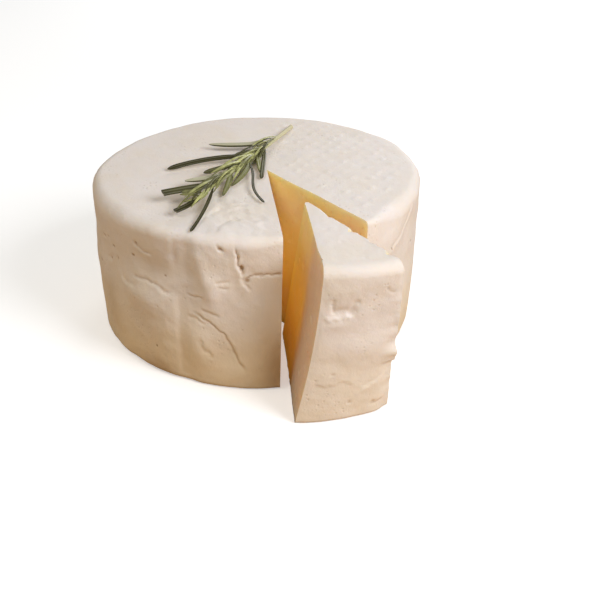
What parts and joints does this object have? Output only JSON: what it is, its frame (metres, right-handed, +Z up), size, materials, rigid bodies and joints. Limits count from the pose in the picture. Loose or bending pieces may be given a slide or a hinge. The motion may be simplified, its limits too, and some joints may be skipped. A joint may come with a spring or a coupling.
{
  "type": "fresh cheese",
  "caption": "Round fresh cheese with a pale rind, a cut wedge drawn part way out of its notch and a rosemary sprig lying on top.",
  "frame": {"origin": "the middle of the wheel's foot, on the surface it stands on", "axes": "+Z up; the drawn-out wedge stands on the -Y side, +X to its right; the longest extent is along Y"},
  "size_m": [0.1533, 0.178, 0.0802],
  "materials": {
    "rind": "moist matt cream rind with golden paste inside",
    "leaf": "leathery dark green leaves with pale undersides"
  },
  "bodies": {
    "root": {"cheese_wheel": "rind", "cheese_wedge": "rind", "rosemary_sprig": "leaf"}
  },
  "joints": []
}
